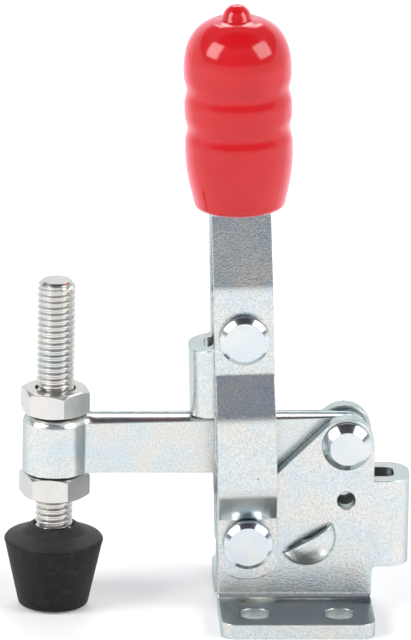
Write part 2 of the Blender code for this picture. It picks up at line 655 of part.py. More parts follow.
def make_rivet(shop, name, seat, sizes, axis, height=0, shoulder=None):
    """A headed rivet across the clamp, thicker in the middle where a shoulder is given."""
    shank, radius, flat, head = sizes
    upper = [(0, seat + head)] + head_profile(seat, radius, flat, head) + [(shank, seat)]
    if shoulder:
        upper += [(shank, shoulder[1]), (shoulder[0], shoulder[1])]
    profile = upper + [(r, -y) for r, y in reversed(upper)]
    rivet = turned(name, profile, shop.parts, shop.zinc, axis)
    rivet.rotation_euler = (math.pi / 2, 0, 0)
    rivet.location = (0, 0, height)
    return rivet


def make_rivets(shop):
    plain = (SHANK_RADIUS, HEAD_RADIUS, HEAD_FLAT_RADIUS, HEAD_HEIGHT)
    small = (LOWER_LINK_SHANK_RADIUS, LOWER_LINK_HEAD_RADIUS, HEAD_FLAT_RADIUS, LOWER_LINK_HEAD_HEIGHT)
    spacer = (SHANK_RADIUS + BASE_SHEET / 2, PLATE_INNER - FIT)
    make_rivet(shop, "handle_rivet", STRIP_OUTER + FIT, plain, shop.handle_axis, shoulder=spacer)
    make_rivet(shop, "upper_link_rivet", STRIP_OUTER + FIT, plain, shop.link_axis, shoulder=spacer)
    make_rivet(shop, "lower_link_rivet", LINK_OUTER + FIT, small, shop.arm_axis)
    make_arm_rivet(shop)


def make_arm_rivet(shop):
    """The rear rivet: a head with its stub in each side plate, and the shank inside the arm."""
    seat = PLATE_OUTER + FIT
    profile = [(0, seat + ARM_HEAD_HEIGHT)]
    profile += head_profile(seat, HEAD_RADIUS, HEAD_FLAT_RADIUS, ARM_HEAD_HEIGHT)
    profile += [(SHANK_RADIUS, seat), (SHANK_RADIUS, PLATE_INNER), (0, PLATE_INNER)]
    for name, turn in (("near_arm_rivet", math.pi / 2), ("far_arm_rivet", -math.pi / 2)):
        end = turned(name, profile, shop.parts, shop.zinc, shop.base_axis)
        end.rotation_euler = (turn, 0, 0)
        end.location = ARM_PIVOT
    turn = Matrix.Translation(ARM_PIVOT - LOWER_LINK_PIVOT) @ UPRIGHT
    shank = cylinder("arm_rivet_shank", SHANK_RADIUS, -ARM_FACE, ARM_FACE, turn)
    link_object("arm_rivet_shank", shank, shop.parts, shop.zinc, shop.arm_axis)


# Spindle, nuts and foot

def hexagon(name, flats, low, high, turn):
    corner = flats / 2 / math.cos(math.pi / 6)
    return cylinder(name, corner, low, high, turn, sides=6)


def make_nut(shop, name, low, turn):
    """A hexagon nut, its corners taken off by a cone at top and bottom."""
    place = Matrix.Translation((SPINDLE_X - LOWER_LINK_PIVOT.x, 0, -LOWER_LINK_PIVOT.z))
    body = hexagon(name, NUT_FLATS, low, low + NUT_HEIGHT, place @ Matrix.Rotation(turn, 4, "Z"))
    nut = link_object(name, body, shop.parts, shop.bolt_zinc, shop.arm_axis)
    bore = cylinder(name + "_bore", SPINDLE_RADIUS + FIT, low - NUT_HEIGHT, low + 2 * NUT_HEIGHT, place)
    corner = NUT_FLATS / 2 / math.cos(math.pi / 6)
    face = NUT_FLATS / 2 - NUT_LAND
    slope = (corner - face) * math.tan(NUT_CHAMFER)
    chamfer = [(0, low + NUT_HEIGHT), (face, low + NUT_HEIGHT), (corner + FIT, low + NUT_HEIGHT - slope),
               (corner + FIT, low + slope), (face, low), (0, low)]
    barrel = turned(name + "_barrel", chamfer, shop.cutters, None, shop.arm_axis)
    barrel.location = place.translation
    barrel.hide_render = True
    barrel.display_type = "WIRE"
    boolean(nut, barrel, "INTERSECT")
    boolean(nut, shop.cutter(bore, shop.arm_axis))
    return nut


def make_spindle(shop):
    """A hexagon bolt, head down in the foot."""
    low = FOOT_LIFT + FOOT_FLOOR
    head = hexagon("spindle", BOLT_HEAD_FLATS, low, low + BOLT_HEAD_HEIGHT, FLAT)
    spindle = link_object("spindle", head, shop.parts, shop.bolt_zinc, shop.spindle_axis)
    profile = [(0, SPINDLE_TOP), (SPINDLE_RADIUS - SPINDLE_TIP, SPINDLE_TOP),
               (SPINDLE_RADIUS, SPINDLE_TOP - SPINDLE_TIP),
               (SPINDLE_RADIUS, low + BOLT_HEAD_HEIGHT / 2), (0, low + BOLT_HEAD_HEIGHT / 2)]
    shank = turned("spindle_shank", profile, shop.cutters, None, shop.spindle_axis)
    shank.hide_render = True
    shank.display_type = "WIRE"
    boolean(spindle, shank, "UNION")
    return spindle


def make_foot(shop):
    """A tapered rubber cap that is pushed over the bolt head."""
    top = FOOT_LIFT + FOOT_HEIGHT
    rim = FOOT_LIFT + FOOT_RIM_HEIGHT
    fall = FOOT_HEIGHT - FOOT_RIM_HEIGHT
    widen = FOOT_RIM_RADIUS - FOOT_NECK_RADIUS
    dish = [(FOOT_NECK_RADIUS + widen * t, top - fall * t ** FOOT_DISH_POWER) for t in FOOT_DISH_STEPS]
    profile = [(0, top)] + dish + [
        (FOOT_RIM_RADIUS, rim - FOOT_EDGE / 2), (FOOT_RIM_RADIUS - FOOT_EDGE / 4, rim - FOOT_EDGE),
        (FOOT_TIP_RADIUS + FOOT_EDGE / 3, FOOT_LIFT + FOOT_EDGE),
        (FOOT_TIP_RADIUS - FOOT_EDGE / 2, FOOT_LIFT), (0, FOOT_LIFT)]
    foot = turned("foot", profile, shop.parts, shop.rubber, shop.spindle_axis)
    low = FOOT_LIFT + FOOT_FLOOR - FIT
    high = low + BOLT_HEAD_HEIGHT + 2 * FIT
    pocket = hexagon("foot_pocket", BOLT_HEAD_FLATS + 2 * FIT, low, high, FLAT)
    boolean(foot, shop.cutter(pocket, shop.spindle_axis))
    inside = low + BOLT_HEAD_HEIGHT / 2
    bore = cylinder("foot_bore", SPINDLE_RADIUS + FIT, inside, top + FOOT_HEIGHT, FLAT)
    boolean(foot, shop.cutter(bore, shop.spindle_axis))
    return foot


def main():
    clear_scene()
    shop = Shop()
    make_base(shop)
    make_arm(shop)
    make_link(shop)
    make_handle(shop)
    make_grip(shop)
    make_rivets(shop)
    make_nut(shop, "upper_nut", ARM_TOP + FIT, UPPER_NUT_TURN)
    make_nut(shop, "lower_nut", ARM_BOTTOM - FIT - NUT_HEIGHT, LOWER_NUT_TURN)
    make_spindle(shop)
    make_foot(shop)
    bpy.context.view_layer.update()


main()
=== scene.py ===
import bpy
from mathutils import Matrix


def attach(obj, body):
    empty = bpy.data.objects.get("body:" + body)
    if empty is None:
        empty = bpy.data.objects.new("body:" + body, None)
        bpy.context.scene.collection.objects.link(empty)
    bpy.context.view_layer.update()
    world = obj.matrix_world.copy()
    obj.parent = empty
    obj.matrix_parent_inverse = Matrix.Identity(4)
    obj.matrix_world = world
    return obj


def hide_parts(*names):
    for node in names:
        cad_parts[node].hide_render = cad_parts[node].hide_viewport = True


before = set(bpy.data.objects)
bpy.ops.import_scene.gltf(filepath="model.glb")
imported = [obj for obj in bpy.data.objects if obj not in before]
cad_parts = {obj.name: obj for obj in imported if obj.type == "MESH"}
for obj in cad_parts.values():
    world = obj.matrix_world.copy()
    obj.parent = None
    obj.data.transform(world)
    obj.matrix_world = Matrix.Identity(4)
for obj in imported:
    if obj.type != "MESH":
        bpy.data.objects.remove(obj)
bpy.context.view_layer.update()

"""Looks of a vertical-handle toggle clamp for a welding table.

The clamp is pressed and folded from zinc-plated sheet steel. A hexagon bolt
with a rubber foot stands in the end of its arm, and its handle is dipped in
red vinyl. Sizes are written in millimetres and turned to metres once.
"""

import logging
import math
from collections.abc import Callable
from dataclasses import dataclass
from enum import Enum

import bmesh
import bpy
from mathutils import Euler, Matrix, Vector

MM = 0.001
SHARP = 32.0  # degrees: edges bent by more are drawn sharp
LOG = logging.getLogger("toggle_clamp")

HANDLE_PIVOT = Vector((6.375, 0.0, 12.9))
ARM_PIVOT = Vector((22.175, 0.0, 28.6))
LOWER_LINK_PIVOT = Vector((5.893, 0.0, 26.7))
UPPER_LINK_PIVOT = Vector((5.171, 0.0, 47.387))
SPINDLE_X = -24.625
LEAN = Euler((0, -math.radians(2.0), 0)).to_matrix().to_4x4()  # handle and link lean towards the arm
ACROSS = Matrix.Rotation(math.pi / 2, 4, "X")  # turns Z to lie across the clamp


class Body(Enum):
    """The moving bodies that the pieces ride on."""

    BASE = "base"
    HANDLE = "handle"
    LINK = "link"
    ARM = "arm"
    SPINDLE = "spindle"


def linear(colour: str) -> tuple[float, float, float, float]:
    """Turn an sRGB hex colour into linear RGBA.

    Args:
        colour: six hex digits after a hash.

    Returns:
        Linear red, green, blue and an alpha of 1.
    """
    shares = [int(colour[i:i + 2], 16) / 255 for i in (1, 3, 5)]
    made = [c / 12.92 if c <= 0.04045 else ((c + 0.055) / 1.055) ** 2.4 for c in shares]
    return (made[0], made[1], made[2], 1.0)


def node(tree: bpy.types.NodeTree, kind: str, inputs: dict | None = None, **settings: object) -> bpy.types.Node:
    """Add a node, set its settings and fill its inputs.

    Args:
        tree: the node tree that gets it.
        kind: the node's Blender type.
        inputs: socket name or number to a constant, or to the socket that feeds it.
        **settings: the node's own properties.

    Returns:
        The new node.
    """
    made = tree.nodes.new(kind)
    for name, value in settings.items():
        setattr(made, name, value)
    for key, value in (inputs or {}).items():
        if isinstance(value, bpy.types.NodeSocket):
            tree.links.new(value, made.inputs[key])
        else:
            made.inputs[key].default_value = value
    return made


def per_metre(size: float) -> float:
    """Noise scale whose features are about size millimetres across."""
    return 1.0 / (size * MM)


# Finishes


@dataclass(frozen=True)
class ZincPlate:
    """Bright zinc electroplate with a blue passivate on pressed or turned steel.

    Thin plating keeps the steel's own grain, so flats are milky mirrors with
    fine sparkle, and a darker blue-green towards a grazing look is a painted reflection of the room.
    Grain and pits of a tenth of a millimetre are drawn two to three times as
    coarse, because finer ones don't show in the render.
    """

    name: str
    colour: str
    stain: str
    # colour of the painted reflection, mixed in towards a grazing look
    grazing_reflection: str
    roughness: float
    grain: float
    grain_depth: float
    speckle: float
    pit_share: float
    edge: float
    # painted shade: the dark colour put inside each pit
    shaded_pit: str = "#3E3B38"
    pit_spacing: float = 1.9
    cloud_size: float = 5.0

    def material(self) -> bpy.types.Material:
        """Build the plating's node material.

        Returns:
            The finished material.
        """
        made = bpy.data.materials.new(self.name)
        made.use_nodes = True
        tree = made.node_tree
        shader = tree.nodes["Principled BSDF"]
        place = node(tree, "ShaderNodeTexCoord").outputs["Object"]
        # The passivate dries in clouds of a warmer and a bluer white
        cloud = node(tree, "ShaderNodeTexNoise", {
            "Vector": place, "Scale": per_metre(self.cloud_size), "Detail": 3.0})
        tone = node(tree, "ShaderNodeValToRGB", {"Fac": cloud.outputs["Fac"]})
        tone.color_ramp.elements[0].position = 0.35
        tone.color_ramp.elements[0].color = linear(self.stain)
        tone.color_ramp.elements[1].position = 0.62
        tone.color_ramp.elements[1].color = linear(self.colour)
        # A few cells hold a pit, as blank steel has; its dark colour is painted shade inside the pit
        cell = node(tree, "ShaderNodeTexVoronoi", {"Vector": place, "Scale": per_metre(self.pit_spacing)})
        chosen = node(tree, "ShaderNodeSeparateColor", {"Color": cell.outputs["Color"]})
        rare = node(tree, "ShaderNodeMath", {0: chosen.outputs["Red"], 1: self.pit_share}, operation="LESS_THAN")
        spot = node(tree, "ShaderNodeMapRange", {
            "Value": cell.outputs["Distance"], "From Min": 0.05, "From Max": 0.10, "To Min": 1.0, "To Max": 0.0})
        shaded_pit = node(tree, "ShaderNodeMath", {0: rare.outputs[0], 1: spot.outputs[0]}, operation="MULTIPLY")
        pit_shade_painted = node(tree, "ShaderNodeMix", {
            "Factor": shaded_pit.outputs[0], "A": tone.outputs["Color"], "B": linear(self.shaded_pit)}, data_type="RGBA")
        grain = node(tree, "ShaderNodeTexNoise", {
            "Vector": place, "Scale": per_metre(self.grain), "Detail": 2.0, "Roughness": 0.6})
        sparkle = node(tree, "ShaderNodeMapRange", {
            "Value": grain.outputs["Fac"], "From Min": 0.3, "From Max": 0.7,
            "To Min": 1.0 - self.speckle, "To Max": 1.0 + self.speckle * 0.5})
        sparkling = node(tree, "ShaderNodeVectorMath", {
            0: pit_shade_painted.outputs["Result"], "Scale": sparkle.outputs[0]}, operation="SCALE")
        # Painted reflection: the colour turns to a darker blue-green towards a grazing look, where the metal would
        # show the room's darker sides
        facing = node(tree, "ShaderNodeLayerWeight", {"Blend": 0.5}).outputs["Facing"]
        grazing = node(tree, "ShaderNodeMapRange", {
            "Value": facing, "From Min": 0.42, "From Max": 0.95, "To Min": 0.0, "To Max": 0.85})
        reflection_painted = node(tree, "ShaderNodeMix", {
            "Factor": grazing.outputs[0], "A": sparkling.outputs[0], "B": linear(self.grazing_reflection)}, data_type="RGBA")
        tree.links.new(reflection_painted.outputs["Result"], shader.inputs["Base Color"])
        rough = node(tree, "ShaderNodeMapRange", {
            "Value": cloud.outputs["Fac"], "From Min": 0.3, "From Max": 0.7,
            "To Min": self.roughness - 0.02, "To Max": self.roughness + 0.02})
        tree.links.new(rough.outputs[0], shader.inputs["Roughness"])
        sunk = node(tree, "ShaderNodeMath", {
            0: shaded_pit.outputs[0], 1: -1.5, 2: grain.outputs["Fac"]}, operation="MULTIPLY_ADD")
        # Tumbling and plating leave no edge sharp
        eased = node(tree, "ShaderNodeBevel", {"Radius": self.edge * MM}, samples=6)
        bump = node(tree, "ShaderNodeBump", {
            "Height": sunk.outputs[0], "Strength": 1.0, "Distance": self.grain_depth * MM,
            "Normal": eased.outputs[0]})
        tree.links.new(bump.outputs[0], shader.inputs["Normal"])
        shader.inputs["Metallic"].default_value = 1.0
        return made


@dataclass(frozen=True)
class DippedVinyl:
    """Red vinyl sleeve, dipped and cured: wet-looking gloss over soft, slightly uneven plastic.

    Dipping leaves waves of a few millimetres. Pinholes of about a tenth of a
    millimetre are drawn five times as coarse and barely show.
    """

    name: str = "red_dipped_vinyl"
    colour: str = "#DA1A22"
    deep: str = "#D0141B"
    # painted rim light: the pink put on towards a grazing look
    rim: str = "#FA6C88"
    cloud_size: float = 9.0
    wave: float = 6.0
    wave_depth: float = 0.10
    pinhole: float = 0.5
    pinhole_depth: float = 0.003

    def material(self) -> bpy.types.Material:
        """Build the vinyl's node material.

        Returns:
            The finished material.
        """
        made = bpy.data.materials.new(self.name)
        made.use_nodes = True
        tree = made.node_tree
        shader = tree.nodes["Principled BSDF"]
        place = node(tree, "ShaderNodeTexCoord").outputs["Object"]
        cloud = node(tree, "ShaderNodeTexNoise", {
            "Vector": place, "Scale": per_metre(self.cloud_size), "Detail": 2.0})
        tone = node(tree, "ShaderNodeValToRGB", {"Fac": cloud.outputs["Fac"]})
        tone.color_ramp.elements[0].position = 0.3
        tone.color_ramp.elements[0].color = linear(self.deep)
        tone.color_ramp.elements[1].position = 0.6
        tone.color_ramp.elements[1].color = linear(self.colour)
        # Painted rim light: towards a grazing look the colour turns pink, standing in for the surroundings' light
        # that thin vinyl lets through at its edge
        facing = node(tree, "ShaderNodeLayerWeight", {"Blend": 0.5}).outputs["Facing"]
        share = node(tree, "ShaderNodeMapRange", {
            "Value": facing, "From Min": 0.45, "From Max": 0.95, "To Min": 0.0, "To Max": 0.9})
        rim_glow_painted = node(tree, "ShaderNodeMix", {
            "Factor": share.outputs[0], "A": tone.outputs["Color"], "B": linear(self.rim)}, data_type="RGBA")
        tree.links.new(rim_glow_painted.outputs["Result"], shader.inputs["Base Color"])
        wave = node(tree, "ShaderNodeTexNoise", {"Vector": place, "Scale": per_metre(self.wave), "Detail": 1.0})
        skin = node(tree, "ShaderNodeTexNoise", {"Vector": place, "Scale": per_metre(self.pinhole), "Detail": 2.0})
        low = node(tree, "ShaderNodeBump", {"Height": wave.outputs["Fac"], "Distance": self.wave_depth * MM})
        high = node(tree, "ShaderNodeBump", {
            "Height": skin.outputs["Fac"], "Distance": self.pinhole_depth * MM, "Normal": low.outputs[0]})
        tree.links.new(high.outputs[0], shader.inputs["Normal"])
        shader.inputs["Roughness"].default_value = 0.13
        shader.inputs["IOR"].default_value = 1.53
        return made


@dataclass(frozen=True)
class Neoprene:
    """Moulded black neoprene: matt, with a fine skin, a little pale dust on it and painted light on the faces that
    point up.

    The mould's own texture is some hundredths of a millimetre, drawn at a
    quarter of a millimetre so that it breaks up the highlights.
    """

    name: str = "black_moulded_neoprene"
    colour: str = "#0C0C0D"
    # colour of the real dust and of the painted light on faces that point up
    dust_and_light_colour: str = "#4B4A48"
    dust_patch: float = 1.6
    skin: float = 0.25
    skin_depth: float = 0.02

    def material(self) -> bpy.types.Material:
        """Build the rubber's node material.

        Returns:
            The finished material.
        """
        made = bpy.data.materials.new(self.name)
        made.use_nodes = True
        tree = made.node_tree
        shader = tree.nodes["Principled BSDF"]
        place = node(tree, "ShaderNodeTexCoord").outputs["Object"]
        cloud = node(tree, "ShaderNodeTexNoise", {
            "Vector": place, "Scale": per_metre(self.dust_patch), "Detail": 6.0, "Roughness": 0.7})
        share = node(tree, "ShaderNodeMapRange", {
            "Value": cloud.outputs["Fac"], "From Min": 0.5, "From Max": 0.8, "To Min": 0.0, "To Max": 0.35})
        # Painted light: faces that point up are drawn paler, as if lit from above, on top of the patches of dust
        up = node(tree, "ShaderNodeSeparateXYZ", {"Vector": node(tree, "ShaderNodeNewGeometry").outputs["Normal"]})
        painted_top_light = node(tree, "ShaderNodeMapRange", {
            "Value": up.outputs["Z"], "From Min": 0.3, "From Max": 0.95, "To Min": 0.0, "To Max": 0.45})
        dust_and_top_light = node(tree, "ShaderNodeMath", {0: share.outputs[0], 1: painted_top_light.outputs[0]}, operation="ADD")
        tone = node(tree, "ShaderNodeMix", {
            "Factor": dust_and_top_light.outputs[0], "A": linear(self.colour), "B": linear(self.dust_and_light_colour)}, data_type="RGBA")
        tree.links.new(tone.outputs["Result"], shader.inputs["Base Color"])
        grain = node(tree, "ShaderNodeTexNoise", {"Vector": place, "Scale": per_metre(self.skin), "Detail": 2.0})
        bump = node(tree, "ShaderNodeBump", {"Height": grain.outputs["Fac"], "Distance": self.skin_depth * MM})
        tree.links.new(bump.outputs[0], shader.inputs["Normal"])
        shader.inputs["Roughness"].default_value = 0.58
        shader.inputs["IOR"].default_value = 1.5
        shader.inputs["Specular IOR Level"].default_value = 0.3
        return made


SHEET_ZINC = ZincPlate(
    name="zinc_plated_pressed_steel", colour="#E2E2DD", stain="#D5E0E3", grazing_reflection="#7F9FA1", roughness=0.24,
    grain=0.26, grain_depth=0.030, speckle=0.22, pit_share=0.05, edge=0.32)
RIVET_ZINC = ZincPlate(
    name="zinc_plated_rivet_steel", colour="#DFE3E2", stain="#D4DEE4", grazing_reflection="#8FAAAE", roughness=0.15,
    grain=0.30, grain_depth=0.004, speckle=0.05, pit_share=0.02, edge=0.10)
BOLT_ZINC = ZincPlate(
    name="zinc_plated_bolt_steel", colour="#E2DED9", stain="#D4D8D6", grazing_reflection="#B0B7B5", roughness=0.22,
    grain=0.20, grain_depth=0.004, speckle=0.06, pit_share=0.02, edge=0.10)


# Mesh helpers


def place_piece(name: str, build: bmesh.types.BMesh, finish: bpy.types.Material, sharp: float = SHARP,
                ) -> bpy.types.Object:
    """Turn a bmesh into an object at the origin.

    Args:
        name: the piece's name.
        build: its mesh in metres, which is freed.
        finish: its material.
        sharp: edges bent by more degrees than this stay sharp.

    Returns:
        The new object.
    """
    mesh = bpy.data.meshes.new(name)
    build.to_mesh(mesh)
    build.free()
    mesh.shade_smooth()
    mesh.set_sharp_from_angle(angle=math.radians(sharp))
    mesh.materials.clear()
    mesh.materials.append(finish)
    made = bpy.data.objects.new(name, mesh)
    bpy.context.scene.collection.objects.link(made)
    return made


def revolve(name: str, profile: list[tuple[float, float]], turn: Matrix, finish: bpy.types.Material,
            steps: int = 96, sharp: float = SHARP) -> bpy.types.Object:
    """Turn a closed piece of revolution from its outline.

    Args:
        name: the piece's name.
        profile: (radius, height) in millimetres, starting and ending on the axis.
        turn: the place of its axis, in metres.
        finish: its material.
        steps: facets round it.
        sharp: edges bent by more degrees than this stay sharp.

    Returns:
        The new object.
    """
    build = bmesh.new()
    angles = [2 * math.pi * i / steps for i in range(steps)]
    rows = []
    for radius, height in profile:
        if radius < 1e-6:
            rows.append([build.verts.new((0, 0, height * MM))] * steps)
            continue
        rows.append([build.verts.new((radius * MM * math.cos(a), radius * MM * math.sin(a), height * MM))
                     for a in angles])
    for upper, lower in zip(rows, rows[1:]):
        for i in range(steps):
            j = (i + 1) % steps
            corners = list(dict.fromkeys((upper[i], upper[j], lower[j], lower[i])))
            if len(corners) > 2:
                build.faces.new(corners)
    bmesh.ops.recalc_face_normals(build, faces=build.faces)
    bmesh.ops.transform(build, matrix=turn, verts=build.verts)
    return place_piece(name, build, finish, sharp)


def fillet(corner: tuple[float, float], back: tuple[float, float], ahead: tuple[float, float], radius: float,
           steps: int) -> list[tuple[float, float]]:
    """Round one corner of an outline.

    Args:
        corner: the sharp corner.
        back: the point before it.
        ahead: the point after it.
        radius: the rounding's radius.
        steps: straight pieces in the arc.

    Returns:
        The points that take the corner's place.
    """
    here = Vector(corner)
    first = (Vector(back) - here).normalized()
    last = (Vector(ahead) - here).normalized()
    half = first.angle(last) / 2
    reach = radius / math.tan(half)
    centre = here + (first + last).normalized() * radius / math.sin(half)
    start = here + first * reach - centre
    turn = start.angle_signed(here + last * reach - centre)
    angle = math.atan2(start.y, start.x)
    return [(centre.x + radius * math.cos(angle - turn * i / steps),
             centre.y + radius * math.sin(angle - turn * i / steps)) for i in range(steps + 1)]


def soften(profile: list[tuple[float, float, float]], steps: int = 6) -> list[tuple[float, float]]:
    """Round the corners of an outline.

    Args:
        profile: corners as (x, y, rounding); the first and last stay sharp.
        steps: straight pieces in each arc.

    Returns:
        The outline's points.
    """
    points = []
    for i, (x, y, radius) in enumerate(profile):
        if radius == 0 or i in (0, len(profile) - 1):
            points.append((x, y))
        else:
            points += fillet((x, y), profile[i - 1][:2], profile[i + 1][:2], radius, steps)
    return points


def plain(piece: bpy.types.Object) -> bpy.types.Object:
    """Apply a piece's modifiers.

    Args:
        piece: the piece with its modifiers.

    Returns:
        The same piece, as a plain mesh.
    """
    ready = piece.evaluated_get(bpy.context.evaluated_depsgraph_get())
    mesh = bpy.data.meshes.new_from_object(ready)
    piece.modifiers.clear()
    piece.data = mesh
    return piece


def pressed_copy(name: str, finish: bpy.types.Material,
                 *rolls: tuple[float, Callable[[bmesh.types.BMEdge], bool]]) -> bpy.types.Object:
    """Copy a solid's mesh, merge its facets and round some of its edges.

    Args:
        name: the node that it stands for.
        finish: its material.
        *rolls: each a width in millimetres and a test that tells which edges are rounded by it.

    Returns:
        The finished piece.
    """
    build = bmesh.new()
    build.from_mesh(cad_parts[name].data)
    bmesh.ops.remove_doubles(build, verts=build.verts, dist=0.002 * MM)
    bmesh.ops.dissolve_limit(build, angle_limit=math.radians(0.4), verts=build.verts, edges=build.edges)
    for width, rolled in rolls:
        bmesh.ops.bevel(build, geom=[line for line in build.edges if rolled(line)], offset=width * MM,
                        offset_type="OFFSET", segments=4, profile=0.42, affect="EDGES", clamp_overlap=False,
                        loop_slide=True, material=-1)
    piece = place_piece(f"{name}_finished", build, finish)
    if rolls:
        flats = piece.modifiers.new("Flats stay flat", "WEIGHTED_NORMAL")
        flats.weight = 100
        flats.keep_sharp = True
        plain(piece)
    return piece


def fit(piece: bpy.types.Object, body: Body, slot: str, *nodes: str) -> None:
    """Let a piece ride on a body and let it stand for its solids.

    Args:
        piece: the finished piece.
        body: the body that carries it.
        slot: not used.
        *nodes: the nodes whose solids it replaces.
    """
    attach(piece, body.value)
    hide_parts(*nodes)
    LOG.info("%s rides on %s with %d faces", piece.name, body.value, len(piece.data.polygons))


# Sub-assemblies


@dataclass
class PressedSheet:
    """The folded sheet pieces: arm, link, base and handle."""

    arm_roll: float = 1.2
    slit_roll: float = 0.35
    eye_radius: float = 4.4
    slit_half: float = 1.5
    top: float = 32.6
    lug_side: float = -4.7
    lug_foot: float = -2.57
    lug_fillet: float = 0.9
    web_top: float = -3.15
    cut_front: float = -10.0
    cut_top: float = 6.5
    cut_half: float = 8.0

    def on_top(self, line: bmesh.types.BMEdge) -> bool:
        """Tell whether both ends of an edge lie on the arm's top."""
        return min(corner.co.z for corner in line.verts) >= (self.top - 0.1) * MM

    def outer_top(self, line: bmesh.types.BMEdge) -> bool:
        """Tell whether an edge of the arm runs along the outside of its top, which folding rounds.

        Args:
            line: an edge of the arm's mesh.

        Returns:
            True along the strips and round the eye, False in the slit, the bore and the rear end.
        """
        if not self.on_top(line) or line.calc_face_angle(0.0) < 1.0:
            return False
        middle = (line.verts[0].co + line.verts[1].co) / MM / 2
        if math.hypot(middle.x - SPINDLE_X, middle.y) < self.eye_radius:
            return False
        return middle.x < SPINDLE_X or abs(middle.y) > self.slit_half

    def slit_top(self, line: bmesh.types.BMEdge) -> bool:
        """Tell whether an edge of the arm runs along the slit between its strips."""
        return self.on_top(line) and line.calc_length() > 20 * MM and abs(line.verts[0].co.y) < 0.5 * MM

    def shouldered(self, link: bpy.types.Object, finish: bpy.types.Material) -> bpy.types.Object:
        """Cut the link's cheeks level with its web, so that only two lugs rise to the upper rivet.

        Args:
            link: the link's copy.
            finish: the sheet's plating, for the cut faces.

        Returns:
            The link with its shoulders.
        """
        outline = soften([(self.cut_front, self.web_top, 0), (self.lug_side, self.lug_foot, self.lug_fillet),
                          (self.lug_side, self.cut_top, 0), (self.cut_front, self.cut_top, 0)])
        build = bmesh.new()
        near, far = ([build.verts.new((x * MM, y * MM, z * MM)) for x, z in outline]
                     for y in (-self.cut_half, self.cut_half))
        build.faces.new(near)
        build.faces.new(far)
        for i in range(len(outline)):
            build.faces.new((near[i - 1], near[i], far[i], far[i - 1]))
        bmesh.ops.recalc_face_normals(build, faces=build.faces)
        bmesh.ops.transform(build, matrix=Matrix.Translation(UPPER_LINK_PIVOT * MM) @ LEAN, verts=build.verts)
        cutter = place_piece("link_cutter", build, finish)
        cut = link.modifiers.new("Shoulders", "BOOLEAN")
        cut.operation = "DIFFERENCE"
        cut.solver = "EXACT"
        cut.object = cutter
        plain(link)
        bpy.data.objects.remove(cutter)
        link.data.set_sharp_from_angle(angle=math.radians(SHARP))
        return link

    def build(self, finish: bpy.types.Material) -> None:
        """Finish the four folded pieces.

        Args:
            finish: the sheet's plating.
        """
        arm = pressed_copy("arm", finish, (self.arm_roll, self.outer_top), (self.slit_roll, self.slit_top))
        fit(arm, Body.ARM, "zinc_sheet", "arm")
        fit(self.shouldered(pressed_copy("link", finish), finish), Body.LINK, "zinc_sheet", "link")
        for name, body in (("base", Body.BASE), ("handle", Body.HANDLE)):
            fit(pressed_copy(name, finish), body, "zinc_sheet", name)


@dataclass(frozen=True)
class RivetSizes:
    """One rivet: its shank's, head's and flat's radius, and how far the head stands out."""

    shank: float = 2.4
    head: float = 4.0
    flat: float = 2.75
    height: float = 1.8


@dataclass
class Rivets:
    """Turned rivets: a straight land, a bright cone and a flat with a soft edge."""

    handle: RivetSizes = RivetSizes(flat=3.2)
    arm: RivetSizes = RivetSizes(height=1.4)
    low_link: RivetSizes = RivetSizes(shank=2.0, head=3.3, flat=2.3, height=1.5)
    plate_inner: float = 2.35
    plate_outer: float = 4.85
    strip_outer: float = 7.15
    gap: float = 0.3
    cone: float = 0.9
    flat_edge: float = 0.12
    cone_edge: float = 0.2
    seat_edge: float = 0.08

    def head_outline(self, seat: float, sizes: RivetSizes) -> list[tuple[float, float, float]]:
        """Outline from the middle of a head's flat down to its seat and in to its shank.

        Args:
            seat: height of the face that the head lies on.
            sizes: the rivet's sizes.

        Returns:
            Corners as (radius, height, rounding).
        """
        land = sizes.height - (sizes.head - sizes.flat) * self.cone
        return [(0, seat + sizes.height, 0), (sizes.flat, seat + sizes.height, self.flat_edge),
                (sizes.head, seat + land, self.cone_edge), (sizes.head, seat, self.seat_edge),
                (sizes.shank, seat, 0)]

    def through(self, name: str, seat: float, sizes: RivetSizes, place: Vector,
                finish: bpy.types.Material) -> bpy.types.Object:
        """A rivet with a head at both ends.

        Args:
            name: the piece's name.
            seat: the middle of the clamp out to the head's seat.
            sizes: the rivet's sizes.
            place: the rivet's middle.
            finish: its plating.

        Returns:
            The rivet.
        """
        upper = self.head_outline(seat, sizes)
        outline = soften(upper + [(radius, -height, edge) for radius, height, edge in reversed(upper)])
        return revolve(name, outline, Matrix.Translation(place * MM) @ ACROSS, finish)

    def build(self, finish: bpy.types.Material) -> None:
        """Make every rivet. The arm's rivet is two heads with stubs, and its shank stays the solid's own.

        Args:
            finish: the rivets' plating.
        """
        on_strip = self.strip_outer + self.gap
        on_plate = self.plate_outer + self.gap
        for node_name, seat, sizes, place, body in (
                ("handle_rivet", on_strip, self.handle, HANDLE_PIVOT, Body.HANDLE),
                ("upper_link_rivet", on_strip, self.handle, UPPER_LINK_PIVOT, Body.LINK),
                ("lower_link_rivet", on_plate, self.low_link, LOWER_LINK_PIVOT, Body.ARM)):
            piece = self.through(f"{node_name}_turned", seat, sizes, place, finish)
            fit(piece, body, "zinc_sheet", node_name)
        stub = soften(self.head_outline(on_plate, self.arm) + [
            (self.arm.shank, self.plate_inner, 0), (0, self.plate_inner, 0)])
        for node_name, turn in (("near_arm_rivet", ACROSS), ("far_arm_rivet", ACROSS.inverted())):
            piece = revolve(f"{node_name}_turned", stub, Matrix.Translation(ARM_PIVOT * MM) @ turn, finish)
            fit(piece, Body.BASE, "zinc_sheet", node_name)
        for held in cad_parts["arm_rivet_shank"].material_slots:
            held.material = finish
        LOG.info("arm_rivet_shank keeps its solid")


